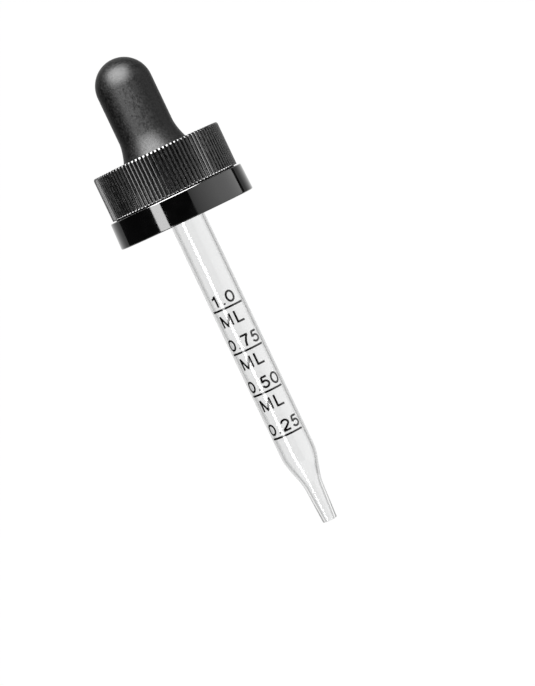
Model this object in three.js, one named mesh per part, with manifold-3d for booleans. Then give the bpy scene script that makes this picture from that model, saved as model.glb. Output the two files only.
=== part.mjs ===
// Medicine dropper with a child-resistant, tamper-evident screw closure for a 20-400 bottle neck.
// Units are millimetres, +Z is up along the dropper's axis. The origin is on that axis, on the plane
// where the bottle's lip seals against the flange of the rubber bulb.

import * as THREE from "three";
import { mergeVertices } from "three/addons/utils/BufferGeometryUtils.js";
import Module from "manifold-3d";

const wasm = await Module();
wasm.setup();

// ---------- driving dimensions ----------

const RUN_GAP = 0.1; // between two nested pieces that fit each other
const FINE = 48; // facets round a closure-sized circle
const SLIM = 40; // facets round a bulb-sized or pipette-sized circle

const pipette = {
  radius: 3.5,
  bore: 2.95, // 9 mm of this bore holds a quarter of a millilitre
  top: 3.2,
  reach: 64.6, // stands out below the tamper ring
  shoulder: 14.9, // above the tip, where the straight tube starts to narrow
  nozzle: 6.6, // above the tip, where the narrow nozzle starts
  nozzleRadius: 1.82,
  nozzleBore: 1.2,
  tipRadius: 1.48,
  tipBore: 0.75,
  rounding: 0.15, // fire-polished ends
};

const bulb = {
  radius: 5.65,
  wall: 1.3,
  flangeRadius: 9.0,
  flangeThick: 1.0,
  neckRadius: 5.0, // the groove that holds the inner cap's top wall
  shoulderRadius: 6.75,
  flareHeight: 4.6, // from the outer cap's top face up to the plain cylinder
  gripAbove: 0.5, // the grip's bore goes on this far above the pipette's end
  mouthHeight: 1.2, // the slope from the bore out to the chamber
  height: 19.4, // stands above the outer cap
};

// The two walls that finger and thumb press.
const squeeze = { halfWidth: 2.4, low: 10.8, high: 18.8, gap: 0.1 };

const innerCap = {
  radius: 11.2,
  rootRadius: 10.1, // clears the crest of a 20-400 neck thread
  crestRadius: 9.25,
  topThick: 1.0,
  bottom: -7.4,
  shoulderRadius: 11.7, // the outer cap's bead hooks under this
  shoulderTop: -1.5,
  shoulderBottom: -2.6,
  shoulderSlope: 0.5, // lets the bead snap over from above
};

const thread = {
  pitch: 3.175,
  turns: 1.4,
  start: -6.2,
  rootHeight: 1.9,
  crestHeight: 0.8,
  runOut: 0.125, // share of the thread's length over which each end fades out
  endHeight: 0.15, // share of the full height left at the very ends
  sink: 0.25, // how far the ridge reaches into the wall behind it
};

// Ratchet teeth on the inner cap, and the lugs under the outer cap that drop between them.
const drive = {
  count: 8,
  height: 1.0,
  width: 2.6,
  land: 0.65, // flat top
  toe: 0.15, // height of the ramp's low end
  inner: 8.75,
  outer: 11.0,
  clearance: 0.2, // lugs pass over the teeth by this until the cap is pushed
  sink: 0.3,
};

const pressTravel = 1.1; // how far the outer cap goes down until its lugs engage

const outerCap = {
  ribs: 100,
  ribRadius: 13.15,
  grooveRadius: 12.85,
  ribHeight: 8.72,
  skirtRadius: 12.5, // plain skirt below the ribs, which dips into the tamper ring
  skirtDip: 0.9,
  skirtSink: 0.5, // how far the skirt's ring reaches up into the ribbed wall
  innerRadius: 11.9,
  beadRadius: 11.45,
  beadTop: -2.75,
  beadBottom: -3.35,
  beadSlope: 0.3,
  topThick: 1.1,
  holeRadius: 7.1,
};

const ring = {
  below: 0.39, // open groove between the ribs and the rim
  topRadius: 13.8,
  bottomRadius: 13.97,
  height: 5.27,
  cupRadius: 13.4, // lets the ribs in when the outer cap is pushed down
  rimRounding: 0.35,
  footRounding: 0.25,
  webThick: 0.8,
  webInner: 11.5,
  webClearance: 0.4, // left under the skirt when the outer cap is pushed right down
  skirtInner: 12.9,
  flapTipRadius: 10.25, // the flap that catches under the bottle's bead
  flapRoot: 0.9,
  flapRise: 1.35,
  flapThick: 0.5,
};

const bridges = { count: 8, width: 0.9, height: 0.5, gap: 0.05 };

const fingers = {
  count: 6,
  inner: 7.3,
  outer: 8.4,
  baseHeight: 0.4,
  leafThick: 0.45,
  leafSink: 0.1, // how far each leaf's root reaches into the base
  sweep: 0.72, // radians that each leaf spans
};

// ---------- heights that follow from them ----------

const innerTopUnder = bulb.flangeThick + RUN_GAP / 2;
const innerTop = innerTopUnder + innerCap.topThick;
const outerTopUnder = innerTop + 2 * drive.height + drive.clearance;
const outerTop = outerTopUnder + outerCap.topThick;
const ribBottom = outerTop - outerCap.ribHeight;
const ringTop = ribBottom - ring.below;
const ringBottom = ringTop - ring.height;
const skirtBottom = ringTop - outerCap.skirtDip;
const webTop = skirtBottom - pressTravel - ring.webClearance;
const pipetteBottom = ringBottom - pipette.reach;
const bulbTop = outerTop + bulb.height;
const domeCentre = bulbTop - bulb.radius;

// ---------- from three.js geometry to closed solids and back ----------

function toSolid(geometry) {
  const bare = geometry.index ? geometry.toNonIndexed() : geometry.clone();
  bare.deleteAttribute("normal");
  bare.deleteAttribute("uv");
  const merged = mergeVertices(bare, 1e-4);
  return new wasm.Manifold(
    new wasm.Mesh({
      numProp: 3,
      vertProperties: merged.attributes.position.array,
      triVerts: new Uint32Array(merged.index.array),
    }),
  );
}

function toGeometry(solid) {
  const mesh = solid.getMesh();
  const position = new Float32Array(mesh.numVert * 3);
  for (let i = 0; i < mesh.numVert; i++) {
    position.set(mesh.vertProperties.subarray(i * mesh.numProp, i * mesh.numProp + 3), i * 3);
  }
  const geometry = new THREE.BufferGeometry();
  geometry.setAttribute("position", new THREE.BufferAttribute(position, 3));
  geometry.setIndex(new THREE.BufferAttribute(mesh.triVerts, 1));
  geometry.computeVertexNormals();
  return geometry;
}

// Turns a closed outline of [radius, height] points round the Z axis. The outline runs anticlockwise
// with the radius to the right and the height up.
function turned(outline, facets) {
  const points = outline.map(([r, z]) => new THREE.Vector2(r, z));
  if (outline[0][0] > 0) points.push(points[0].clone());
  return new THREE.LatheGeometry(points, facets).rotateX(Math.PI / 2);
}

function ringSolid(inner, outer, low, high, facets) {
  return toSolid(
    turned(
      [
        [inner, low],
        [outer, low],
        [outer, high],
        [inner, high],
      ],
      facets,
    ),
  );
}

// Points on a circular arc of a profile, from one angle to another.
function arc(centreR, centreZ, radius, from, to, steps) {
  return Array.from({ length: steps + 1 }, (_, i) => {
    const a = from + ((to - from) * i) / steps;
    return [centreR + radius * Math.cos(a), centreZ + radius * Math.sin(a)];
  });
}

// Bends a unit box round the axis. place() gives the angle, radius and height of a point from its share
// along the arc, outwards and upwards.
function bentBox(steps, place) {
  const geometry = new THREE.BoxGeometry(1, 1, 1, steps, 1, 1);
  const position = geometry.attributes.position;
  for (let i = 0; i < position.count; i++) {
    const along = position.getX(i) + 0.5;
    const { angle, radius, height } = place(along, position.getY(i) + 0.5, position.getZ(i) + 0.5);
    position.setXYZ(i, radius * Math.cos(angle), radius * Math.sin(angle), height);
  }
  return toSolid(geometry);
}

// Copies of one solid at equal angles, as one list.
function around(solid, count, firstAngle = 0) {
  return Array.from({ length: count }, (_, i) => solid.rotate([0, 0, firstAngle + (360 * i) / count]));
}

// ---------- rubber bulb ----------

// The concave foot, from the shoulder up to the plain cylinder.
function flare(steps) {
  return Array.from({ length: steps + 1 }, (_, i) => {
    const t = i / steps;
    const radius = THREE.MathUtils.lerp(bulb.radius, bulb.shoulderRadius, (1 - t) ** 2);
    return [radius, outerTop + bulb.flareHeight * t];
  });
}

// The outside runs from the seal flange up through the groove and the flare to the dome. The inside runs
// back down through the chamber to the bore that grips the pipette.
function bulbSolid() {
  const boreRadius = pipette.radius + RUN_GAP;
  const chamber = bulb.radius - bulb.wall;
  const grip = pipette.top + bulb.gripAbove;
  const inside = arc(0, domeCentre, chamber, Math.PI / 2, 0, 8);
  const outside = arc(0, domeCentre, bulb.radius, 0, Math.PI / 2, 10);
  inside[0][0] = 0;
  outside[outside.length - 1][0] = 0;
  return toSolid(
    turned(
      [
        ...inside,
        [chamber, grip + bulb.mouthHeight],
        [boreRadius, grip],
        [boreRadius, 0],
        [bulb.flangeRadius, 0],
        [bulb.flangeRadius, bulb.flangeThick],
        [bulb.neckRadius, bulb.flangeThick],
        [bulb.neckRadius, innerTop + RUN_GAP / 2],
        [bulb.shoulderRadius, innerTop + RUN_GAP / 2],
        ...flare(6),
        ...outside,
      ],
      SLIM,
    ),
  );
}

// The block that cuts out the rubber wall that a finger or the thumb pushes in, on one side.
function wallBlock(side, margin) {
  const depth = bulb.radius + 2;
  const tall = squeeze.high - squeeze.low - 2 * margin;
  const block = new THREE.BoxGeometry(depth, 2 * (squeeze.halfWidth - margin), tall);
  return toSolid(block.translate((side * depth) / 2, 0, (squeeze.high + squeeze.low) / 2));
}

// ---------- glass pipette ----------

// The taper from the straight tube down to the nozzle, as an S-shaped ease between two radii.
function taper(low, high, from, to, steps) {
  return Array.from({ length: steps + 1 }, (_, i) => {
    const t = i / steps;
    return [THREE.MathUtils.lerp(from, to, THREE.MathUtils.smoothstep(t, 0, 1)), low + (high - low) * t];
  });
}

function pipetteSolid() {
  const p = pipette;
  const nozzle = pipetteBottom + p.nozzle;
  const shoulder = pipetteBottom + p.shoulder;
  return toSolid(
    turned(
      [
        [p.tipBore, pipetteBottom],
        [p.tipRadius - p.rounding, pipetteBottom],
        [p.tipRadius, pipetteBottom + p.rounding],
        ...taper(nozzle, shoulder, p.nozzleRadius, p.radius, 6),
        [p.radius, p.top - p.rounding],
        [p.radius - p.rounding, p.top],
        [p.bore + p.rounding, p.top],
        [p.bore, p.top - p.rounding],
        ...taper(nozzle, shoulder, p.nozzleBore, p.bore, 6).reverse(),
      ],
      SLIM,
    ),
  );
}

// ---------- inner cap ----------

// A right-handed helical ridge of trapezoid section, whose height fades out at both ends.
function threadRidge() {
  const t = thread;
  return bentBox(Math.round(t.turns * FINE), (along, out, up) => {
    const fade = Math.min(1, along / t.runOut, (1 - along) / t.runOut);
    const rise = THREE.MathUtils.lerp(t.endHeight, 1, fade);
    const crest = THREE.MathUtils.lerp(innerCap.rootRadius, innerCap.crestRadius, rise);
    const half = THREE.MathUtils.lerp(t.crestHeight, t.rootHeight, out) / 2;
    return {
      angle: -2 * Math.PI * t.turns * along, // clockwise as the box's own axes need, and so downwards
      radius: THREE.MathUtils.lerp(crest, innerCap.rootRadius + t.sink, out),
      height: t.start + t.pitch * t.turns * (1 - along) + (up * 2 - 1) * half,
    };
  });
}

// A ramp with one upright face. It stands up for a direction of 1, and hangs down for -1.
function driveTooth(direction) {
  const half = drive.width / 2;
  const shape = new THREE.Shape([
    new THREE.Vector2(-half, -drive.sink),
    new THREE.Vector2(half, -drive.sink),
    new THREE.Vector2(half, drive.height),
    new THREE.Vector2(half - drive.land, drive.height),
    new THREE.Vector2(-half, drive.toe),
  ]);
  const geometry = new THREE.ExtrudeGeometry(shape, { depth: drive.outer - drive.inner, bevelEnabled: false });
  geometry.rotateX(Math.PI / 2).rotateZ(Math.PI / 2).translate(drive.inner, 0, 0);
  if (direction < 0) geometry.rotateX(Math.PI);
  return toSolid(geometry);
}

function innerCapSolid() {
  const c = innerCap;
  const hole = bulb.neckRadius + RUN_GAP;
  const shell = toSolid(
    turned(
      [
        [c.rootRadius, c.bottom],
        [c.radius, c.bottom],
        [c.radius, c.shoulderBottom],
        [c.shoulderRadius, c.shoulderBottom],
        [c.shoulderRadius, c.shoulderTop - c.shoulderSlope],
        [c.radius, c.shoulderTop],
        [c.radius, innerTop],
        [hole, innerTop],
        [hole, innerTopUnder],
        [c.rootRadius, innerTopUnder],
      ],
      FINE,
    ),
  );
  const teeth = around(driveTooth(1).translate([0, 0, innerTop]), drive.count);
  return teeth.reduce((body, tooth) => body.add(tooth), shell.add(threadRidge()));
}

// ---------- outer cap ----------

// The knurl: one straight-sided rib and one groove, repeated round the wall.
function ribbedOutline() {
  const points = [];
  for (let i = 0; i < outerCap.ribs; i++) {
    const a = (2 * Math.PI * i) / outerCap.ribs;
    const b = (2 * Math.PI * (i + 0.5)) / outerCap.ribs;
    points.push(new THREE.Vector2(outerCap.ribRadius * Math.cos(a), outerCap.ribRadius * Math.sin(a)));
    points.push(new THREE.Vector2(outerCap.grooveRadius * Math.cos(b), outerCap.grooveRadius * Math.sin(b)));
  }
  return new THREE.Shape(points);
}

function outerCapSolid() {
  const c = outerCap;
  const ribbed = new THREE.ExtrudeGeometry(ribbedOutline(), { depth: c.ribHeight, bevelEnabled: false });
  const wall = toSolid(ribbed.translate(0, 0, ribBottom));
  const skirt = ringSolid(c.beadRadius, c.skirtRadius, skirtBottom, ribBottom + c.skirtSink, FINE);
  const cavity = toSolid(
    turned(
      [
        [0, skirtBottom - 1],
        [c.innerRadius, skirtBottom - 1],
        [c.innerRadius, c.beadBottom - c.beadSlope],
        [c.beadRadius, c.beadBottom],
        [c.beadRadius, c.beadTop],
        [c.innerRadius, c.beadTop],
        [c.innerRadius, outerTopUnder],
        [c.holeRadius, outerTopUnder],
        [c.holeRadius, outerTop + 1],
        [0, outerTop + 1],
      ],
      FINE,
    ),
  );
  const lug = driveTooth(-1).translate([0, 0, outerTopUnder]);
  const lugs = around(lug, drive.count, 180 / drive.count);
  return lugs.reduce((body, one) => body.add(one), wall.add(skirt).subtract(cavity));
}

// ---------- spring fingers between the two caps ----------

function fingersSolid() {
  const f = fingers;
  const base = innerTop + RUN_GAP;
  const top = outerTopUnder - RUN_GAP;
  const footing = ringSolid(f.inner, f.outer, base, base + f.baseHeight, FINE);
  const leaf = bentBox(8, (along, out, up) => ({
    angle: -f.sweep * along,
    radius: THREE.MathUtils.lerp(f.inner, f.outer, out),
    height: THREE.MathUtils.lerp(top - f.leafThick, base + f.leafSink, along) + up * f.leafThick,
  }));
  return around(leaf, f.count).reduce((body, one) => body.add(one), footing);
}

// ---------- tamper-evident ring and its bridges ----------

function ringBody() {
  const r = ring;
  const webBottom = webTop - r.webThick;
  const flapTop = ringBottom + r.flapRise;
  return toSolid(
    turned(
      [
        [r.bottomRadius - r.footRounding, ringBottom],
        [r.bottomRadius, ringBottom + r.footRounding],
        [r.topRadius, ringTop - r.rimRounding],
        [(r.topRadius + r.cupRadius) / 2, ringTop],
        [r.cupRadius, ringTop],
        [r.cupRadius, webTop],
        [r.webInner, webTop],
        [r.webInner, webBottom],
        [r.skirtInner, webBottom],
        [r.skirtInner, ringBottom + r.flapRoot],
        [r.flapTipRadius, flapTop],
        [r.flapTipRadius, flapTop - r.flapThick],
        [r.skirtInner, ringBottom],
      ],
      FINE,
    ),
  );
}

function bridgeGeometry() {
  const inner = innerCap.radius + bridges.gap;
  const outer = ring.webInner - bridges.gap;
  const box = new THREE.BoxGeometry(outer - inner, bridges.width, bridges.height);
  return box.translate((inner + outer) / 2, 0, webTop - ring.webThick / 2);
}

// ---------- the assembly ----------

const finishes = {
  rubber: new THREE.MeshStandardMaterial({ color: 0x2b2b2c, roughness: 0.62, metalness: 0 }),
  ribbedPlastic: new THREE.MeshStandardMaterial({ color: 0x1c1c1d, roughness: 0.42, metalness: 0 }),
  glossPlastic: new THREE.MeshStandardMaterial({ color: 0x0d0d0e, roughness: 0.12, metalness: 0 }),
  innerPlastic: new THREE.MeshStandardMaterial({ color: 0x161617, roughness: 0.35, metalness: 0 }),
  clearGlass: new THREE.MeshStandardMaterial({ color: 0xeef0f0, roughness: 0.05, metalness: 0 }),
};
finishes.clearGlass.transparent = true;
finishes.clearGlass.opacity = 0.35;

const dropper = new THREE.Group();

function addPart(name, geometry, material, angle = 0) {
  const mesh = new THREE.Mesh(geometry, material);
  mesh.name = name;
  mesh.rotation.z = angle;
  dropper.add(mesh);
}

const wholeBulb = bulbSolid();
const windowed = wholeBulb.subtract(wallBlock(1, 0)).subtract(wallBlock(-1, 0));
addPart("rubber_bulb", toGeometry(windowed), finishes.rubber);
addPart("bulb_wall_right", toGeometry(wholeBulb.intersect(wallBlock(1, squeeze.gap))), finishes.rubber);
addPart("bulb_wall_left", toGeometry(wholeBulb.intersect(wallBlock(-1, squeeze.gap))), finishes.rubber);
addPart("glass_pipette", toGeometry(pipetteSolid()), finishes.clearGlass);
addPart("inner_cap", toGeometry(innerCapSolid()), finishes.innerPlastic);
addPart("spring_fingers", toGeometry(fingersSolid()), finishes.innerPlastic);
addPart("outer_cap", toGeometry(outerCapSolid()), finishes.ribbedPlastic);
addPart("tamper_ring", toGeometry(ringBody()), finishes.glossPlastic);
for (let i = 0; i < bridges.count; i++) {
  addPart(`tamper_bridge_${i + 1}`, bridgeGeometry(), finishes.glossPlastic, (2 * Math.PI * i) / bridges.count);
}

export default dropper;
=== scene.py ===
import math

import bmesh
import bpy
from mathutils import Matrix, Vector


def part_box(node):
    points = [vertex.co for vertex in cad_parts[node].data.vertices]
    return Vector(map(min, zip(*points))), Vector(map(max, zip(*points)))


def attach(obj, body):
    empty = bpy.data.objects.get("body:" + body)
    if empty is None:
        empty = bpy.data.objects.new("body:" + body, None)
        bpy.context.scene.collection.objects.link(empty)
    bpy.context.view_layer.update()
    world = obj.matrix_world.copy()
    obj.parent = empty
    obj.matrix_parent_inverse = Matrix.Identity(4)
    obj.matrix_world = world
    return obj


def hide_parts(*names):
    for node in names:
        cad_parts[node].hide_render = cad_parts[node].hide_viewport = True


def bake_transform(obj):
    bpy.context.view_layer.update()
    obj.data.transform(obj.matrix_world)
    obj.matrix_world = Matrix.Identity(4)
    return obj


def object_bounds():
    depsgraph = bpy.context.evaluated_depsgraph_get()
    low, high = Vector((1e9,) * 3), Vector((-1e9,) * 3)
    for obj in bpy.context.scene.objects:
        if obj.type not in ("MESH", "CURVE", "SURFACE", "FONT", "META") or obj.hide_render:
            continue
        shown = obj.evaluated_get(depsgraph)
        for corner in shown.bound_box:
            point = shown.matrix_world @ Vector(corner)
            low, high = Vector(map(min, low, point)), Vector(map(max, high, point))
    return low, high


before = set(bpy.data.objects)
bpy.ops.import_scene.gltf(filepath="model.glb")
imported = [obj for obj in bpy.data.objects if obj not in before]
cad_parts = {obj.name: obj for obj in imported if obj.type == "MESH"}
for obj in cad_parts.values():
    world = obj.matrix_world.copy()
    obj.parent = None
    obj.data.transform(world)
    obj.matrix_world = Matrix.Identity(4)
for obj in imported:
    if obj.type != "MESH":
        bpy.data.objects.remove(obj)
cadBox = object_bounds()

mm = 0.001
fullTurn = 2 * math.pi
creaseAngle = 38  # degrees between two faces, past which their edge is drawn sharp
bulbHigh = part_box("rubber_bulb")[1]
capLow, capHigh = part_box("outer_cap")
ringLow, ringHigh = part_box("tamper_ring")
innerLow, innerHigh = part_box("inner_cap")
tubeLow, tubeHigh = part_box("glass_pipette")
springLow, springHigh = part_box("spring_fingers")
print("frame loaded:", len(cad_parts), "nodes")


def addNode(tree, kind, x, y, **settings):
    node = tree.nodes.new("ShaderNode" + kind)
    node.location = (x, y)
    for name, value in settings.items():
        setattr(node, name, value)
    return node


def newGroup(name, inputs, outputs):
    tree = bpy.data.node_groups.new(name, "ShaderNodeTree")
    for label, value in inputs.items():
        socket = tree.interface.new_socket(label, in_out="INPUT", socket_type="NodeSocketFloat")
        socket.default_value = value
    for label in outputs:
        tree.interface.new_socket(label, in_out="OUTPUT", socket_type="NodeSocketFloat")
    start = tree.nodes.new("NodeGroupInput")
    start.location = (-900, 0)
    end = tree.nodes.new("NodeGroupOutput")
    end.location = (600, 0)
    return tree, start, end


# fine texture left by the mould: Height for a bump, Mottle for slow changes of tone
def makeMouldGrain():
    settings = {"Scale": 6000, "Mottle Scale": 300}
    tree, start, end = newGroup("mouldGrain", settings, ["Height", "Mottle"])
    coords = addNode(tree, "TexCoord", -900, 300)
    fine = addNode(tree, "TexNoise", -500, 200)
    fine.inputs["Detail"].default_value = 3
    slow = addNode(tree, "TexNoise", -500, -150)
    slow.inputs["Detail"].default_value = 2
    for noise, scale in ((fine, "Scale"), (slow, "Mottle Scale")):
        tree.links.new(coords.outputs["Object"], noise.inputs["Vector"])
        tree.links.new(start.outputs[scale], noise.inputs["Scale"])
    spread = addNode(tree, "MapRange", -150, -150)
    spread.inputs["From Min"].default_value = 0.35
    spread.inputs["From Max"].default_value = 0.65
    tree.links.new(slow.outputs["Fac"], spread.inputs["Value"])
    tree.links.new(fine.outputs["Fac"], end.inputs["Height"])
    tree.links.new(spread.outputs["Result"], end.inputs["Mottle"])
    return tree


# scattered specks of dust: one in some of the cells, none in the others
def makeDustSpecks():
    settings = {"Scale": 900, "Share": 0.1, "Size": 0.16}
    tree, start, end = newGroup("dustSpecks", settings, ["Mask"])
    coords = addNode(tree, "TexCoord", -900, 300)
    cells = addNode(tree, "TexVoronoi", -600, 100)
    tree.links.new(coords.outputs["Object"], cells.inputs["Vector"])
    tree.links.new(start.outputs["Scale"], cells.inputs["Scale"])
    channels = addNode(tree, "SeparateColor", -350, -50)
    tree.links.new(cells.outputs["Color"], channels.inputs["Color"])
    chosen = addNode(tree, "Math", -100, -50, operation="LESS_THAN")
    tree.links.new(channels.outputs["Red"], chosen.inputs[0])
    tree.links.new(start.outputs["Share"], chosen.inputs[1])
    edge = addNode(tree, "MapRange", -100, 150)
    edge.inputs["To Min"].default_value = 1
    edge.inputs["To Max"].default_value = 0
    tree.links.new(cells.outputs["Distance"], edge.inputs["Value"])
    tree.links.new(start.outputs["Size"], edge.inputs["From Max"])
    both = addNode(tree, "Math", 200, 50, operation="MULTIPLY")
    tree.links.new(chosen.outputs["Value"], both.inputs[0])
    tree.links.new(edge.outputs["Result"], both.inputs[1])
    tree.links.new(both.outputs["Value"], end.inputs["Mask"])
    return tree


# hairline scuffs from handling: the thin lines where a stretched noise crosses its middle
# value, kept only where a second noise is high
def makeHairScuffs():
    settings = {"Scale": 500, "Width": 0.004, "Cover": 0.6}
    tree, start, end = newGroup("hairScuffs", settings, ["Mask"])
    coords = addNode(tree, "TexCoord", -1100, 300)
    stretch = addNode(tree, "Mapping", -900, 300)
    stretch.inputs["Rotation"].default_value = (0.5, 0.3, 0.9)
    stretch.inputs["Scale"].default_value = (1, 1, 0.12)
    tree.links.new(coords.outputs["Object"], stretch.inputs["Vector"])
    lines = addNode(tree, "TexNoise", -650, 250)
    lines.inputs["Detail"].default_value = 1
    patches = addNode(tree, "TexNoise", -650, -100)
    for noise in (lines, patches):
        tree.links.new(stretch.outputs["Vector"], noise.inputs["Vector"])
        tree.links.new(start.outputs["Scale"], noise.inputs["Scale"])
    level = addNode(tree, "Math", -400, 250, operation="COMPARE")
    level.inputs[1].default_value = 0.5
    tree.links.new(lines.outputs["Fac"], level.inputs[0])
    tree.links.new(start.outputs["Width"], level.inputs[2])
    here = addNode(tree, "Math", -400, -100, operation="GREATER_THAN")
    tree.links.new(patches.outputs["Fac"], here.inputs[0])
    tree.links.new(start.outputs["Cover"], here.inputs[1])
    both = addNode(tree, "Math", -100, 100, operation="MULTIPLY")
    tree.links.new(level.outputs["Value"], both.inputs[0])
    tree.links.new(here.outputs["Value"], both.inputs[1])
    tree.links.new(both.outputs["Value"], end.inputs["Mask"])
    return tree


mouldGrain = makeMouldGrain()
dustSpecks = makeDustSpecks()
hairScuffs = makeHairScuffs()


def placeGroup(tree, group, x, y, **values):
    node = addNode(tree, "Group", x, y)
    node.node_tree = group
    for label, value in values.items():
        node.inputs[label.replace("_", " ")].default_value = value
    return node


def newMaterial(name):
    made = bpy.data.materials.new(name)
    made.use_nodes = True
    return made, made.node_tree, made.node_tree.nodes["Principled BSDF"]


# a colour or value that slides between two ends as a mask goes from 0 to 1
def blendColours(tree, mask, low, high, x, y):
    mix = addNode(tree, "Mix", x, y, data_type="RGBA")
    mix.inputs[6].default_value = (*low, 1)
    mix.inputs[7].default_value = (*high, 1)
    tree.links.new(mask, mix.inputs[0])
    return mix


def blendValues(tree, mask, low, high, x, y):
    spread = addNode(tree, "MapRange", x, y)
    spread.inputs["To Min"].default_value = low
    spread.inputs["To Max"].default_value = high
    tree.links.new(mask, spread.inputs["Value"])
    return spread


def addBump(tree, shader, height, distance, x, y):
    bump = addNode(tree, "Bump", x, y)
    bump.inputs["Distance"].default_value = distance
    tree.links.new(height, bump.inputs["Height"])
    tree.links.new(bump.outputs["Normal"], shader.inputs["Normal"])


# black plastic or rubber: mottled tone and gloss, moulded grain, dust and scuffs
def mouldedBlack(name, look):
    made, tree, shader = newMaterial(name)
    grain = placeGroup(tree, mouldGrain, -900, 0,
                       Scale=look["grainScale"], Mottle_Scale=look["mottleScale"])
    dust = placeGroup(tree, dustSpecks, -900, -250,
                      Scale=look["dustScale"], Share=look["dustShare"])
    scuffs = placeGroup(tree, hairScuffs, -900, -500,
                        Scale=look["scuffScale"], Cover=look["scuffCover"])
    tone = blendColours(tree, grain.outputs["Mottle"], look["dark"], look["light"], -600, 250)
    dusty = addNode(tree, "Mix", -350, 250, data_type="RGBA")
    dusty.inputs[7].default_value = (*look["dust"], 1)
    tree.links.new(tone.outputs[2], dusty.inputs[6])
    tree.links.new(dust.outputs["Mask"], dusty.inputs[0])
    tree.links.new(dusty.outputs[2], shader.inputs["Base Color"])
    gloss = blendValues(tree, grain.outputs["Mottle"], *look["roughness"], -600, -50)
    scuffed = addNode(tree, "Math", -350, -50, operation="MULTIPLY_ADD")
    scuffed.inputs[1].default_value = look["scuffRoughness"]
    tree.links.new(scuffs.outputs["Mask"], scuffed.inputs[0])
    tree.links.new(gloss.outputs["Result"], scuffed.inputs[2])
    tree.links.new(scuffed.outputs["Value"], shader.inputs["Roughness"])
    shader.inputs["Specular IOR Level"].default_value = look["specular"]
    addBump(tree, shader, grain.outputs["Height"], look["grainDepth"], -350, -300)
    return made


# depths are in metres and scales are in features to the metre, as the shader nodes read them
bulbLook = {
    "dark": (0.001, 0.001, 0.0011), "light": (0.012, 0.012, 0.0122),
    "dust": (0.1, 0.1, 0.096),
    "roughness": (0.36, 0.52), "specular": 0.1,
    "grainScale": 1900, "grainDepth": 0.000014, "mottleScale": 2600,
    "dustScale": 1000, "dustShare": 0.04,
    "scuffScale": 260, "scuffCover": 0.62, "scuffRoughness": 0.06,
}
capLook = {
    "dark": (0.004, 0.004, 0.0042), "light": (0.009, 0.009, 0.0092),
    "dust": (0.09, 0.09, 0.09),
    "roughness": (0.17, 0.24), "specular": 0.36,
    "grainScale": 2600, "grainDepth": 0.000003, "mottleScale": 1600,
    "dustScale": 1100, "dustShare": 0.035,
    "scuffScale": 420, "scuffCover": 0.6, "scuffRoughness": 0.1,
}
ringLook = {
    "dark": (0.003, 0.003, 0.0031), "light": (0.006, 0.006, 0.0062),
    "dust": (0.07, 0.07, 0.07),
    "roughness": (0.05, 0.09), "specular": 0.5,
    "grainScale": 130, "grainDepth": 0.000012, "mottleScale": 350,
    "dustScale": 1300, "dustShare": 0.015,
    "scuffScale": 380, "scuffCover": 0.6, "scuffRoughness": 0.12,
}
innerLook = {
    "dark": (0.006, 0.006, 0.0062), "light": (0.011, 0.011, 0.0113),
    "dust": (0.08, 0.08, 0.08),
    "roughness": (0.3, 0.38), "specular": 0.45,
    "grainScale": 4200, "grainDepth": 0.000003, "mottleScale": 380,
    "dustScale": 1500, "dustShare": 0.01,
    "scuffScale": 400, "scuffCover": 0.62, "scuffRoughness": 0.08,
}


glassLook = {
    # edge is painted shade: the darker colour the glass is given towards the tube's sides, faded in as
    # the facing value goes from the first to the second number after it
    "clear": (0.905, 0.907, 0.907), "edge": (0.56, 0.565, 0.565), "edgeShadeFrom": 0.46, "edgeShadeTo": 0.6,
    "roughness": 0.05, "ior": 1.47,
    "drawScale": 700, "drawStretch": 0.02, "drawDepth": 0.000006,
}
inkLook = {
    "dark": (0.006, 0.006, 0.006), "light": (0.02, 0.02, 0.02),
    "roughness": (0.07, 0.14), "specular": 0.4, "grainScale": 9000, "mottleScale": 1600,
}


def makeGlass():
    made, tree, shader = newMaterial("drawnGlass")
    # painted shade: the base colour is made darker towards the tube's sides, where the surface turns
    # away from the eye and the eye passes through more of the wall
    facing = addNode(tree, "LayerWeight", -900, 300)
    facing.inputs["Blend"].default_value = 0.5
    edge = addNode(tree, "MapRange", -700, 300)
    edge.inputs["From Min"].default_value = glassLook["edgeShadeFrom"]
    edge.inputs["From Max"].default_value = glassLook["edgeShadeTo"]
    tree.links.new(facing.outputs["Facing"], edge.inputs["Value"])
    tone = blendColours(tree, edge.outputs["Result"], glassLook["clear"], glassLook["edge"], -450, 300)
    tree.links.new(tone.outputs[2], shader.inputs["Base Color"])
    shader.inputs["Roughness"].default_value = glassLook["roughness"]
    shader.inputs["IOR"].default_value = glassLook["ior"]
    shader.inputs["Transmission Weight"].default_value = 1
    # faint lines along the tube, left when it was drawn
    coords = addNode(tree, "TexCoord", -1000, 0)
    stretch = addNode(tree, "Mapping", -800, 0)
    stretch.inputs["Scale"].default_value = (1, 1, glassLook["drawStretch"])
    tree.links.new(coords.outputs["Object"], stretch.inputs["Vector"])
    drawLines = addNode(tree, "TexNoise", -600, 0)
    drawLines.inputs["Scale"].default_value = glassLook["drawScale"]
    tree.links.new(stretch.outputs["Vector"], drawLines.inputs["Vector"])
    addBump(tree, shader, drawLines.outputs["Fac"], glassLook["drawDepth"], -300, -200)
    return made


def makeInk():
    made, tree, shader = newMaterial("scaleInk")
    grain = placeGroup(tree, mouldGrain, -900, 0,
                       Scale=inkLook["grainScale"], Mottle_Scale=inkLook["mottleScale"])
    tone = blendColours(tree, grain.outputs["Mottle"], inkLook["dark"], inkLook["light"], -500, 200)
    tree.links.new(tone.outputs[2], shader.inputs["Base Color"])
    gloss = blendValues(tree, grain.outputs["Mottle"], *inkLook["roughness"], -500, -50)
    tree.links.new(gloss.outputs["Result"], shader.inputs["Roughness"])
    shader.inputs["Specular IOR Level"].default_value = inkLook["specular"]
    return made


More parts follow.
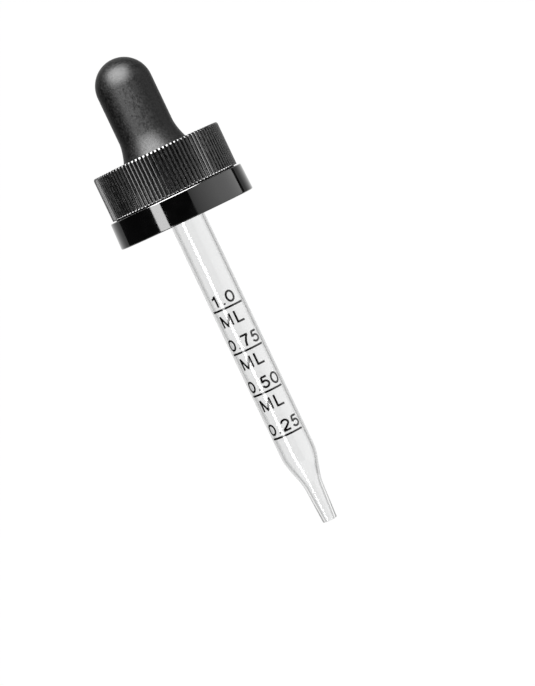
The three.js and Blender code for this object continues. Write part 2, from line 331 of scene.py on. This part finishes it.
rubberMaterial = mouldedBlack("bulbRubber", bulbLook)
capMaterial = mouldedBlack("ribbedPlastic", capLook)
ringMaterial = mouldedBlack("glossPlastic", ringLook)
innerMaterial = mouldedBlack("innerPlastic", innerLook)
glassMaterial = makeGlass()
inkMaterial = makeInk()
print("materials made")


# an outline of (radius, height, rounding) points in millimetres, turned round the Z axis
def turnOutline(bm, outline, steps, closed=True, segments=4):
    corners = [bm.verts.new((r * mm, 0, z * mm)) for r, z, rounding in outline]
    ends = corners[1:] + corners[:1] if closed else corners[1:]
    for a, b in zip(corners, ends):
        bm.edges.new((a, b))
    for corner, (r, z, rounding) in zip(corners, outline):
        if rounding:
            bmesh.ops.bevel(bm, geom=[corner], offset=rounding * mm, offset_type="OFFSET",
                            affect="VERTICES", segments=segments, profile=0.5, material=-1)
    bmesh.ops.spin(bm, geom=bm.verts[:] + bm.edges[:], cent=(0, 0, 0), axis=(0, 0, 1),
                   dvec=(0, 0, 0), angle=fullTurn, steps=steps, use_merge=True, use_duplicate=False)
    weldGap = 0.0005 * mm
    bmesh.ops.remove_doubles(bm, verts=bm.verts[:], dist=weldGap)
    bmesh.ops.recalc_face_normals(bm, faces=bm.faces[:])


def finishPiece(name, bm, material, body=None, replaced=(), evenShading=True):
    bmesh.ops.recalc_face_normals(bm, faces=bm.faces[:])
    for face in bm.faces:
        face.smooth = True
    mesh = bpy.data.meshes.new(name)
    bm.to_mesh(mesh)
    bm.free()
    mesh.set_sharp_from_angle(angle=math.radians(creaseAngle))
    mesh.materials.append(material)
    piece = bpy.data.objects.new(name, mesh)
    bpy.context.scene.collection.objects.link(piece)
    if evenShading:
        piece.modifiers.new("evenShading", "WEIGHTED_NORMAL").keep_sharp = True
    if replaced:
        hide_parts(*replaced)
    if body:
        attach(piece, body)
    return piece


# outline points on an arc about a centre on the axis, from and to angles in degrees above level
def arcPoints(centreZ, radius, start, stop, steps):
    angles = [math.radians(start + (stop - start) * i / steps) for i in range(steps + 1)]
    return [(radius * math.cos(a), centreZ + radius * math.sin(a), 0) for a in angles]


def smoothStep(low, high, value):
    t = min(1, max(0, (value - low) / (high - low)))
    return t * t * (3 - 2 * t)


bulb = {
    "radius": 5.63, "wall": 1.3, "flange": 1.0, "neck": 5.0,
    "footRadius": 6.66, "footSink": 0.95, "footSpread": 0.05,  # the foot goes in below the teeth
    "flareHeight": 4.2, "flarePower": 1.6, "flareRings": 14,
    "gripGap": 0.1, "gripAbove": 0.5, "mouth": 1.2, "chamberRings": 16, "chamberArc": (80, 0, 12),
    "barrelRings": 8, "barrelStep": 1.1, "domeArc": (0, 84, 24), "steps": 128,
    "pinchLow": (6.2, 12.5), "pinchHigh": (16.0, 24.2),  # heights where the squeeze fades in and out
    "axisReach": 0.01,  # points nearer than this to the axis aren't moved by the squeeze
}


def makeBulb():
    capTop = capHigh.z / mm
    apex = bulbHigh.z / mm
    dome = apex - bulb["radius"]
    chamber = bulb["radius"] - bulb["wall"]
    flangeRadius = bulbHigh.x / mm
    bore = tubeHigh.x / mm + bulb["gripGap"]
    grip = tubeHigh.z / mm + bulb["gripAbove"]
    mouth = grip + bulb["mouth"]
    foot = innerHigh.z / mm - bulb["footSink"]
    # down the inside first, round the flange, and back up the outside
    outline = [(0, dome + chamber, 0)] + arcPoints(dome, chamber, *bulb["chamberArc"])
    rings = bulb["chamberRings"]
    outline += [(chamber, dome + (mouth - dome) * i / rings, 0) for i in range(1, rings)]
    outline += [(chamber, mouth, 0.4), (bore, grip, 0.3), (bore, 0, 0.15)]
    outline += [(flangeRadius, 0, 0.2), (flangeRadius, bulb["flange"], 0.2)]
    outline += [(bulb["neck"], bulb["flange"], 0.15), (bulb["neck"], foot, 0.15)]
    outline.append((bulb["footRadius"] + bulb["footSpread"], foot, 0.3))
    for i in range(bulb["flareRings"] + 1):
        t = i / bulb["flareRings"]
        flare = (bulb["footRadius"] - bulb["radius"]) * (1 - t) ** bulb["flarePower"]
        outline.append((bulb["radius"] + flare, capTop + bulb["flareHeight"] * t, 0))
    for i in range(1, bulb["barrelRings"] + 1):
        outline.append((bulb["radius"], capTop + bulb["flareHeight"] + bulb["barrelStep"] * i, 0))
    outline += arcPoints(dome, bulb["radius"], *bulb["domeArc"]) + [(0, apex, 0)]
    bm = bmesh.new()
    turnOutline(bm, outline, bulb["steps"], closed=False)
    piece = finishPiece("soft_bulb", bm, rubberMaterial, evenShading=False,
                        replaced=("rubber_bulb", "bulb_wall_left", "bulb_wall_right"))
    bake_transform(piece)


pipette = {
    "bore": 2.95, "nozzle": 6.6, "shoulder": 14.9, "nozzleRadius": 1.82, "nozzleBore": 1.2,
    "tipRadius": 1.48, "tipBore": 0.75, "rounding": 0.14, "taperRings": 24, "steps": 160,
}


def makePipette():
    radius = tubeHigh.x / mm
    top = tubeHigh.z / mm
    tip = tubeLow.z / mm
    nozzle = tip + pipette["nozzle"]
    shoulder = tip + pipette["shoulder"]
    rise = shoulder - nozzle
    taper = [i / pipette["taperRings"] for i in range(pipette["taperRings"] + 1)]
    outline = [(pipette["tipBore"], tip, pipette["rounding"])]
    outline.append((pipette["tipRadius"], tip, pipette["rounding"]))
    growth = radius - pipette["nozzleRadius"]
    for t in taper:
        outline.append((pipette["nozzleRadius"] + growth * smoothStep(0, 1, t), nozzle + rise * t, 0))
    outline += [(radius, top, 0.2), (pipette["bore"], top, 0.2)]
    growth = pipette["bore"] - pipette["nozzleBore"]
    for t in reversed(taper):
        outline.append((pipette["nozzleBore"] + growth * smoothStep(0, 1, t), nozzle + rise * t, 0))
    bm = bmesh.new()
    turnOutline(bm, outline, pipette["steps"])
    finishPiece("glass_tube", bm, glassMaterial, "closure", ["glass_pipette"])


# the ratchet of both caps: ramps with one upright face, repeated round the axis
teeth = {
    "count": 8, "height": 1.0, "width": 2.6, "land": 0.65, "toe": 0.15,
    "inner": 8.75, "outer": 11.0, "sink": 0.3,
}


def addTeeth(bm, base, direction, firstAngle):
    half = teeth["width"] / 2
    shape = [(-half, -teeth["sink"]), (half, -teeth["sink"]), (half, teeth["height"]),
             (half - teeth["land"], teeth["height"]), (-half, teeth["toe"])]
    inner = teeth["inner"] * mm
    side = bm.faces.new([bm.verts.new((inner, direction * y * mm, (base + direction * z) * mm))
                         for y, z in shape])
    grown = bmesh.ops.extrude_face_region(bm, geom=[side])["geom"]
    moved = [part for part in grown if isinstance(part, bmesh.types.BMVert)]
    bmesh.ops.translate(bm, verts=moved, vec=((teeth["outer"] - teeth["inner"]) * mm, 0, 0))
    verts = list(side.verts) + moved
    bmesh.ops.rotate(bm, verts=verts, cent=(0, 0, 0), matrix=Matrix.Rotation(firstAngle, 3, "Z"))
    tooth = list(dict.fromkeys(part for vert in verts
                               for part in [vert, *vert.link_edges, *vert.link_faces]))
    bmesh.ops.spin(bm, geom=tooth, cent=(0, 0, 0), axis=(0, 0, 1), dvec=(0, 0, 0),
                   angle=fullTurn * (teeth["count"] - 1) / teeth["count"],
                   steps=teeth["count"] - 1, use_duplicate=True)


innerCap = {
    "radius": 11.2, "root": 10.1, "crest": 9.25, "top": 1.0, "hole": 5.1,
    "shoulder": 11.7, "shoulderTop": -1.5, "shoulderSlope": 0.5, "shoulderBottom": -2.6, "steps": 144,
}
thread = {
    "pitch": 3.175, "turns": 1.4, "start": -6.2, "rootHalf": 0.95, "crestHalf": 0.4, "sink": 0.25,
    "runOut": 0.125, "endHeight": 0.1,  # shares of the thread's length and of its height
}


def addThread(bm):
    wall = innerCap["root"] + thread["sink"]
    corners = [(wall, -thread["rootHalf"]), (innerCap["crest"], -thread["crestHalf"]),
               (innerCap["crest"], thread["crestHalf"]), (wall, thread["rootHalf"])]
    section = bm.faces.new([bm.verts.new((r * mm, 0, (thread["start"] + z) * mm)) for r, z in corners])
    steps = round(thread["turns"] * innerCap["steps"])
    before = set(bm.verts) - set(section.verts)
    bmesh.ops.spin(bm, geom=[section, *section.edges, *section.verts], cent=(0, 0, 0), axis=(0, 0, 1),
                   dvec=(0, 0, thread["pitch"] * thread["turns"] / steps * mm),
                   angle=fullTurn * thread["turns"], steps=steps, use_duplicate=False)
    # the crest sinks back towards the wall at both ends
    for vert in set(bm.verts) - before:
        r = vert.co.xy.length / mm
        if r < innerCap["root"]:
            angle = math.atan2(vert.co.y, vert.co.x)
            rough = (vert.co.z / mm - thread["start"]) / thread["pitch"] * fullTurn
            turn = angle + fullTurn * round((rough - angle) / fullTurn)
            along = turn / (fullTurn * thread["turns"])
            toEnd = min(along, 1 - along)
            fade = min(1, max(thread["endHeight"], toEnd / thread["runOut"]))
            target = innerCap["root"] + (innerCap["crest"] - innerCap["root"]) * fade
            vert.co.xy *= target / r


def makeInnerCap():
    bottom = innerLow.z / mm
    top = innerHigh.z / mm - teeth["height"]
    under = top - innerCap["top"]
    outline = [
        (innerCap["root"], bottom, 0.15), (innerCap["radius"], bottom, 0.15),
        (innerCap["radius"], innerCap["shoulderBottom"], 0.08),
        (innerCap["shoulder"], innerCap["shoulderBottom"], 0.08),
        (innerCap["shoulder"], innerCap["shoulderTop"] - innerCap["shoulderSlope"], 0.1),
        (innerCap["radius"], innerCap["shoulderTop"], 0.1),
        (innerCap["radius"], top, 0.2), (innerCap["hole"], top, 0.1), (innerCap["hole"], under, 0.1),
        (innerCap["root"], under, 0.1),
    ]
    bm = bmesh.new()
    turnOutline(bm, outline, innerCap["steps"])
    addThread(bm)
    addTeeth(bm, top, 1, 0)
    finishPiece("threaded_cap", bm, innerMaterial, "closure", ["inner_cap"])


spring = {
    "count": 6, "inner": 7.3, "outer": 8.4, "base": 0.4, "baseSteps": 96, "leaf": 0.45, "rooted": 0.1,
    "sweep": 0.72, "steps": 14,  # the angle that each leaf climbs through, in radians
}


def makeSpring():
    base = springLow.z / mm
    rise = springHigh.z / mm - base - spring["leaf"] - spring["rooted"]
    low = base + spring["rooted"]
    bm = bmesh.new()
    deck = base + spring["base"]
    outline = [(spring["inner"], base, 0.08), (spring["outer"], base, 0.08),
               (spring["outer"], deck, 0.08), (spring["inner"], deck, 0.08)]
    turnOutline(bm, outline, spring["baseSteps"])
    for i in range(spring["count"]):
        corners = [(spring["inner"], low), (spring["outer"], low),
                   (spring["outer"], low + spring["leaf"]), (spring["inner"], low + spring["leaf"])]
        root = bm.faces.new([bm.verts.new((r * mm, 0, z * mm)) for r, z in corners])
        turn = Matrix.Rotation(fullTurn * i / spring["count"] - spring["sweep"], 3, "Z")
        bmesh.ops.rotate(bm, verts=root.verts[:], cent=(0, 0, 0), matrix=turn)
        bmesh.ops.spin(bm, geom=[root, *root.edges, *root.verts], cent=(0, 0, 0), axis=(0, 0, 1),
                       dvec=(0, 0, rise / spring["steps"] * mm), angle=spring["sweep"],
                       steps=spring["steps"])
    piece = finishPiece("spring_leaves", bm, innerMaterial, replaced=["spring_fingers"])
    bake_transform(piece)


outerCap = {
    "ribs": 100, "columns": 10, "ribDepth": 0.34, "ribHeight": 8.72,
    "flank": (0.15, 0.5),  # shares of a rib's width, out from its middle, where crest becomes groove
    "runOut": (0.0, 0.22),  # heights over which the grooves deepen above the foot
    "foot": 0.05, "footDrop": 0.06, "footLift": 0.06, "footStep": 0.055, "footRings": 4,
    "rim": (0.17, 0.38), "rimLift": 0.12, "rimWidth": 0.45, "rimBack": 0.6,
    "skirt": 12.5, "inner": 11.9, "top": 1.1, "hole": 7.1,
    "bead": 11.45, "beadTop": -2.75, "beadBottom": -3.35, "beadSlope": 0.3,
}


# cuts the ribs: what lies outside the wavy line of crests and grooves is drawn in to that line
def cutRibs(bm, crest, low):
    footTolerance = 0.01
    for vert in bm.verts:
        r = vert.co.xy.length / mm
        above = vert.co.z / mm - low
        if r > crest - outerCap["ribDepth"] and above > -footTolerance:
            phase = math.atan2(vert.co.y, vert.co.x) / fullTurn * outerCap["ribs"]
            groove = smoothStep(*outerCap["flank"], abs(phase - round(phase)))
            limit = crest - outerCap["ribDepth"] * groove * smoothStep(*outerCap["runOut"], above)
            if r > limit:
                vert.co.xy *= limit / r


def makeOuterCap():
    crest = capHigh.x / mm
    top = capHigh.z / mm
    bottom = capLow.z / mm
    ribFoot = top - outerCap["ribHeight"] - outerCap["footDrop"]
    rim = top + outerCap["rimLift"]
    under = top - outerCap["top"]
    rimIn, rimDown = outerCap["rim"]
    footRings = [(crest, ribFoot + outerCap["footLift"] + outerCap["footStep"] * i, 0)
                 for i in range(outerCap["footRings"])]
    outline = [
        (outerCap["inner"], bottom, 0.1), (outerCap["skirt"], bottom, 0.15),
        (outerCap["skirt"], ribFoot, 0.08), (crest, ribFoot, outerCap["foot"]), *footRings,
        (crest, rim - rimDown, 0.08), (crest - rimIn, rim, 0.08),
        (crest - outerCap["rimWidth"], rim, 0.1), (crest - outerCap["rimBack"], top, 0.05),
        (outerCap["hole"], top, 0.25),
        (outerCap["hole"], under, 0.1), (outerCap["inner"], under, 0.3),
        (outerCap["inner"], outerCap["beadTop"], 0.08), (outerCap["bead"], outerCap["beadTop"], 0.08),
        (outerCap["bead"], outerCap["beadBottom"], 0.08),
        (outerCap["inner"], outerCap["beadBottom"] - outerCap["beadSlope"], 0.08),
    ]
    bm = bmesh.new()
    turnOutline(bm, outline, outerCap["ribs"] * outerCap["columns"], segments=3)
    cutRibs(bm, crest, ribFoot)
    addTeeth(bm, under, -1, math.pi / teeth["count"])
    finishPiece("ribbed_cap", bm, capMaterial, "outer_cap", ["outer_cap"])


ring = {
    "topRadius": 13.8, "rimLift": 0.1, "cup": 13.4, "skirt": 12.9,
    "web": 11.5, "webTop": 2.4, "webThick": 0.8,
    "flap": 10.25, "flapRoot": 0.9, "flapRise": 1.35, "flapThick": 0.5, "steps": 256,
}
bridge = {"count": 8, "inner": 11.25, "outer": 11.45, "width": 0.9, "height": 0.5, "rounding": 0.04}


def makeRing():
    top = ringHigh.z / mm
    bottom = ringLow.z / mm
    rim = top + ring["rimLift"]
    web = top - ring["webTop"]
    webUnder = web - ring["webThick"]
    flap = bottom + ring["flapRise"]
    outline = [
        (ringHigh.x / mm, bottom, 0.28), (ring["topRadius"], rim, 0.2), (ring["cup"], rim, 0.08),
        (ring["cup"], web, 0.15), (ring["web"], web, 0.1), (ring["web"], webUnder, 0.1),
        (ring["skirt"], webUnder, 0.15), (ring["skirt"], bottom + ring["flapRoot"], 0.15),
        (ring["flap"], flap, 0.15), (ring["flap"], flap - ring["flapThick"], 0.15),
        (ring["skirt"], bottom, 0.3),
    ]
    bm = bmesh.new()
    turnOutline(bm, outline, ring["steps"])
    finishPiece("tear_ring", bm, ringMaterial, "tamper_ring", ["tamper_ring"])


def makeBridge(number):
    height = ringHigh.z / mm - ring["webTop"] - ring["webThick"] / 2
    size = (bridge["outer"] - bridge["inner"], bridge["width"], bridge["height"])
    bm = bmesh.new()
    bmesh.ops.create_cube(bm, size=mm)
    bmesh.ops.scale(bm, verts=bm.verts[:], vec=size)
    bmesh.ops.bevel(bm, geom=bm.edges[:], offset=bridge["rounding"] * mm, offset_type="OFFSET",
                    affect="EDGES", segments=2, profile=0.5, material=-1)
    middle = (bridge["inner"] + bridge["outer"]) / 2
    bmesh.ops.translate(bm, verts=bm.verts[:], vec=(middle * mm, 0, height * mm))
    turn = Matrix.Rotation(fullTurn * (number - 1) / bridge["count"], 3, "Z")
    bmesh.ops.rotate(bm, verts=bm.verts[:], cent=(0, 0, 0), matrix=turn)
    finishPiece(f"ring_bridge_{number}", bm, ringMaterial, "tamper_ring",
                [f"tamper_bridge_{number}"])


makeBulb()
makePipette()
makeInnerCap()
makeSpring()
makeOuterCap()
makeRing()
for number in range(1, bridge["count"] + 1):
    makeBridge(number)
print("pieces made")


def ellipseStroke(centreX, centreY, radiusX, radiusY, start, stop, steps=24):
    angles = [math.radians(start + (stop - start) * i / steps) for i in range(steps + 1)]
    return [(centreX + radiusX * math.cos(a), centreY + radiusY * math.sin(a)) for a in angles]


# each sign's width, then the centre lines of its strokes, all in shares of its height
signs = {
    "0": (0.777, [ellipseStroke(0.388, 0.5, 0.265, 0.43, 90, 450, 40)]),
    "1": (0.777, [[(0.46, 0), (0.46, 1)], [(0.19, 0.755), (0.32, 0.78), (0.41, 0.85), (0.45, 0.97)]]),
    "2": (0.777, [[*ellipseStroke(0.385, 0.675, 0.25, 0.26, 172, -28),
                   (0.38, 0.32), (0.19, 0.17), (0.135, 0.065)],
                  [(0.1, 0.065), (0.65, 0.065)]]),
    "5": (0.777, [[(0.62, 0.935), (0.22, 0.935)], [(0.24, 0.96), (0.17, 0.49)],
                  ellipseStroke(0.375, 0.335, 0.25, 0.27, 145, -160)]),
    "7": (0.777, [[(0.12, 0.935), (0.67, 0.935)], [(0.64, 0.93), (0.5, 0.7), (0.39, 0.4), (0.34, 0)]]),
    ".": (0.388, [[(0.194, 0), (0.194, 0.13)]]),
    "M": (1.1, [[(0.14, 0), (0.14, 1)], [(0.14, 0.98), (0.5, 0.03), (0.86, 0.98)],
                [(0.86, 0), (0.86, 1)]]),
    "L": (0.74, [[(0.14, 1), (0.14, 0)], [(0.14, 0.065), (0.64, 0.065)]]),
}
scalePrint = {
    "rows": [("1.0", 46.1, True), ("0.75", 37.1, True), ("0.50", 28.2, True), ("0.25", 19.0, False)],
    "numberHeight": 2.36, "unitHeight": 2.42, "unit": "ML", "stretch": 1.17,
    "stroke": 0.42, "line": 7.15, "lineStroke": 0.4, "numberLift": 0.68, "unitDrop": 1.1,
    "turn": -7.5, "film": 0.018, "proud": 0.4, "step": 0.12, "weldGap": 0.0001,
}


def strokesOf(text, height):
    strokes, x = [], 0
    for sign in text:
        width, lines = signs[sign]
        strokes += [[((x + px) * height * scalePrint["stretch"], py * height) for px, py in line]
                    for line in lines]
        x += width
    left = min(px for line in strokes for px, py in line)
    right = max(px for line in strokes for px, py in line)
    return [[(px - (left + right) / 2, py) for px, py in line] for line in strokes]


# extra points along a stroke, so that it can bend round the tube
def finerLine(line):
    points = [line[0]]
    for (x0, y0), (x1, y1) in zip(line, line[1:]):
        count = max(1, math.ceil(math.hypot(x1 - x0, y1 - y0) / scalePrint["step"]))
        points += [(x0 + (x1 - x0) * i / count, y0 + (y1 - y0) * i / count)
                   for i in range(1, count + 1)]
    return points


# one line of the scale with its number above it and the unit below, printed round the tube
def makeScaleMark(number, text, height, withUnit):
    placed = [(line, scalePrint["numberLift"], scalePrint["stroke"])
              for line in strokesOf(text, scalePrint["numberHeight"])]
    half = scalePrint["line"] / 2
    placed.append(([(-half, 0), (half, 0)], 0, scalePrint["lineStroke"]))
    if withUnit:
        drop = -scalePrint["unitDrop"] - scalePrint["unitHeight"]
        placed += [(line, drop, scalePrint["stroke"])
                   for line in strokesOf(scalePrint["unit"], scalePrint["unitHeight"])]
    curve = bpy.data.curves.new("strokes", "CURVE")
    curve.dimensions = "3D"
    curve.bevel_depth = 0.5 * mm
    curve.bevel_resolution = 2
    curve.use_fill_caps = True
    for line, lift, stroke in placed:
        points = finerLine(line)
        spline = curve.splines.new("POLY")
        spline.points.add(len(points) - 1)
        for point, (x, y) in zip(spline.points, points):
            point.co = (x * mm, (y + lift) * mm, 0, 1)
            point.radius = stroke
    drawing = bpy.data.objects.new("strokes", curve)
    bpy.context.scene.collection.objects.link(drawing)
    flat = bpy.data.meshes.new_from_object(drawing.evaluated_get(bpy.context.evaluated_depsgraph_get()))
    bpy.data.objects.remove(drawing)
    bm = bmesh.new()
    bm.from_mesh(flat)
    bpy.data.meshes.remove(flat)
    bmesh.ops.remove_doubles(bm, verts=bm.verts[:], dist=scalePrint["weldGap"] * mm)
    tube = tubeHigh.x / mm
    base = tubeLow.z / mm + height
    thickness = scalePrint["film"] / scalePrint["stroke"]
    for vert in bm.verts:
        angle = math.radians(scalePrint["turn"]) + vert.co.x / mm / tube
        r = tube + scalePrint["film"] * scalePrint["proud"] + vert.co.z / mm * thickness
        vert.co = (r * mm * math.sin(angle), -r * mm * math.cos(angle), vert.co.y + base * mm)
    finishPiece(f"scale_mark_{number}", bm, inkMaterial, "closure", evenShading=False)


for number, (text, height, withUnit) in enumerate(scalePrint["rows"], 1):
    makeScaleMark(number, text, height, withUnit)
print("scale printed")


# the stage: a pale floor and a bright backdrop that light themselves, with softboxes and a side
# screen that show only in reflections
stage = {
    "floorDrop": 800, "floorSize": 2600, "floorColour": (0.05, 0.05, 0.05),
    "backdropAway": 900, "backdropSize": (3000, 2400), "backdropColour": (0.03, 0.03, 0.03),
    "glow": 1.0, "roughness": 0.9,
    "fadeLeft": (-0.4, -1.1, 0.5), "fadeRight": (0.35, 1.1, 0.35),  # from, to (metres), glow left there
}


def makeGlowMaterial(name, colour):
    made, tree, shader = newMaterial(name)
    shader.inputs["Base Color"].default_value = (*colour, 1)
    shader.inputs["Roughness"].default_value = stage["roughness"]
    shader.inputs["Specular IOR Level"].default_value = 0
    shader.inputs["Emission Color"].default_value = (1, 1, 1, 1)
    shader.inputs["Emission Strength"].default_value = stage["glow"]
    return made, tree, shader


# bright behind the object, dimmer towards both sides and most on the right
def makeBackdropMaterial():
    made, tree, shader = makeGlowMaterial("brightBackdrop", stage["backdropColour"])
    coords = addNode(tree, "TexCoord", -1100, 0)
    parts = addNode(tree, "SeparateXYZ", -900, 0)
    tree.links.new(coords.outputs["Object"], parts.inputs["Vector"])
    both = addNode(tree, "Math", -400, 0, operation="MULTIPLY")
    for place, side in enumerate(("fadeLeft", "fadeRight")):
        nearX, farX, low = stage[side]
        fade = addNode(tree, "MapRange", -650, -300 * place)
        for label, value in (("From Min", nearX), ("From Max", farX), ("To Min", 1), ("To Max", low)):
            fade.inputs[label].default_value = value
        tree.links.new(parts.outputs["X"], fade.inputs["Value"])
        tree.links.new(fade.outputs["Result"], both.inputs[place])
    tree.links.new(both.outputs["Value"], shader.inputs["Emission Color"])
    return made


def makeSheet(name, sizeX, sizeY, matrix, material):
    bm = bmesh.new()
    bmesh.ops.create_grid(bm, x_segments=1, y_segments=1, size=0.5)
    bmesh.ops.scale(bm, verts=bm.verts[:], vec=(sizeX * mm, sizeY * mm, 1))
    bmesh.ops.transform(bm, verts=bm.verts[:], matrix=matrix)
    mesh = bpy.data.meshes.new(name)
    bm.to_mesh(mesh)
    bm.free()
    mesh.materials.append(material)
    sheet = bpy.data.objects.new(name, mesh)
    bpy.context.scene.collection.objects.link(sheet)
    return sheet


floorPlace = Matrix.Translation((0, 0, cadBox[0].z - stage["floorDrop"] * mm))
floorMaterial = makeGlowMaterial("paleFloor", stage["floorColour"])[0]
makeSheet("floor", stage["floorSize"], stage["floorSize"], floorPlace, floorMaterial)
backdropPlace = Matrix.Translation((0, stage["backdropAway"] * mm, 0))
backdropPlace = backdropPlace @ Matrix.Rotation(math.pi / 2, 4, "X")
makeSheet("backdrop", *stage["backdropSize"], backdropPlace, makeBackdropMaterial())

softboxes = {
    "stripLeft": {"angle": -38, "lift": -13, "away": 925, "size": (288, 1350), "radiance": 14},
    "topFront": {"angle": -6, "lift": 51, "away": 800, "size": (1060, 980), "radiance": 58},
}
# a large dim screen on the right: fade is where along Y it goes from dim to bright
screen = {
    "angle": 66, "away": 600, "size": (1300, 900), "dim": 0.8, "bright": 2.15, "fade": (-860, -250),
}


# angle goes round from the front towards +X, lift up from the horizon, both in degrees
def makeSoftbox(name, box):
    a, e = math.radians(box["angle"]), math.radians(box["lift"])
    outwards = Vector((math.sin(a) * math.cos(e), -math.cos(a) * math.cos(e), math.sin(e)))
    light = bpy.data.lights.new(name, "AREA")
    light.shape = "RECTANGLE"
    light.size, light.size_y = (side * mm for side in box["size"])
    light.energy = box["radiance"] * math.pi * light.size * light.size_y
    lamp = bpy.data.objects.new(name, light)
    lamp.location = outwards * box["away"] * mm
    lamp.rotation_mode = "QUATERNION"
    lamp.rotation_quaternion = outwards.to_track_quat("Z", "Y")
    lamp.visible_camera = False
    lamp.visible_diffuse = False
    lamp.visible_transmission = False
    bpy.context.scene.collection.objects.link(lamp)


def makeScreen():
    made, tree, shader = newMaterial("screenGlow")
    shader.inputs["Base Color"].default_value = (0, 0, 0, 1)
    shader.inputs["Specular IOR Level"].default_value = 0
    shader.inputs["Emission Strength"].default_value = screen["bright"]
    coords = addNode(tree, "TexCoord", -900, 0)
    parts = addNode(tree, "SeparateXYZ", -700, 0)
    tree.links.new(coords.outputs["Object"], parts.inputs["Vector"])
    rise = addNode(tree, "MapRange", -500, 0)
    for label, y in zip(("From Min", "From Max"), screen["fade"]):
        rise.inputs[label].default_value = y * mm
    rise.inputs["To Min"].default_value = screen["dim"] / screen["bright"]
    tree.links.new(parts.outputs["Y"], rise.inputs["Value"])
    tree.links.new(rise.outputs["Result"], shader.inputs["Emission Color"])
    a = math.radians(screen["angle"])
    outwards = Vector((math.sin(a), -math.cos(a), 0))
    facing = outwards.to_track_quat("Z", "Y").to_matrix().to_4x4()
    place = Matrix.Translation(outwards * screen["away"] * mm) @ facing
    sheet = makeSheet("sideScreen", *screen["size"], place, made)
    sheet.visible_camera = False
    sheet.visible_diffuse = False
    sheet.visible_transmission = False
    sheet.visible_shadow = False


for name, box in softboxes.items():
    makeSoftbox(name, box)
makeScreen()


# white behind the object, a little dimmer through the glass, and dim for reflections and fill
studioAir = {"behind": 1.0, "throughGlass": 0.7, "fill": 0.03}


def makeWorld():
    world = bpy.data.worlds.new("studio")
    bpy.context.scene.world = world
    world.use_nodes = True
    tree = world.node_tree
    tree.nodes.clear()
    path = addNode(tree, "LightPath", -600, 200)
    seen = addNode(tree, "Math", -350, 200, operation="MAXIMUM")
    tree.links.new(path.outputs["Is Camera Ray"], seen.inputs[0])
    tree.links.new(path.outputs["Is Transmission Ray"], seen.inputs[1])
    dim = addNode(tree, "Background", -350, 0)
    dim.inputs["Color"].default_value = (1, 1, 1, 1)
    dim.inputs["Strength"].default_value = studioAir["fill"]
    bright = addNode(tree, "Background", -350, -150)
    bright.inputs["Color"].default_value = (1, 1, 1, 1)
    through = addNode(tree, "Math", -600, -150, operation="MULTIPLY_ADD")
    through.inputs[1].default_value = studioAir["throughGlass"] - studioAir["behind"]
    through.inputs[2].default_value = studioAir["behind"]
    tree.links.new(path.outputs["Is Transmission Ray"], through.inputs[0])
    tree.links.new(through.outputs["Value"], bright.inputs["Strength"])
    mix = addNode(tree, "MixShader", -100, 100)
    tree.links.new(seen.outputs["Value"], mix.inputs[0])
    tree.links.new(dim.outputs["Background"], mix.inputs[1])
    tree.links.new(bright.outputs["Background"], mix.inputs[2])
    output = addNode(tree, "OutputWorld", 150, 100)
    tree.links.new(mix.outputs["Shader"], output.inputs["Surface"])


makeWorld()
bpy.context.scene.view_settings.view_transform = "Standard"
print("stage set")

cameraSetup = {
    "lens": 125.1, "clip": (0.01, 20),
    "place": (0, -460, -1.85), "aim": (3.72, 0, -37.27), "roll": 25.36,
}


# level with the closure, aimed at the middle of the dropper, and rolled so that its top leans left
def makeCamera():
    data = bpy.data.cameras.new("viewer")
    data.lens = cameraSetup["lens"]
    data.clip_start, data.clip_end = cameraSetup["clip"]
    camera = bpy.data.objects.new("viewer", data)
    bpy.context.scene.collection.objects.link(camera)
    place, aim = Vector(cameraSetup["place"]) * mm, Vector(cameraSetup["aim"]) * mm
    forward = (aim - place).normalized()
    level = forward.cross(Vector((0, 0, 1))).normalized()
    turn = Matrix.Rotation(math.radians(cameraSetup["roll"]), 3, forward)
    right, up = turn @ level, turn @ level.cross(forward)
    camera.matrix_world = Matrix((right, up, -forward)).transposed().to_4x4()
    camera.location = place
    bpy.context.scene.camera = camera


makeCamera()
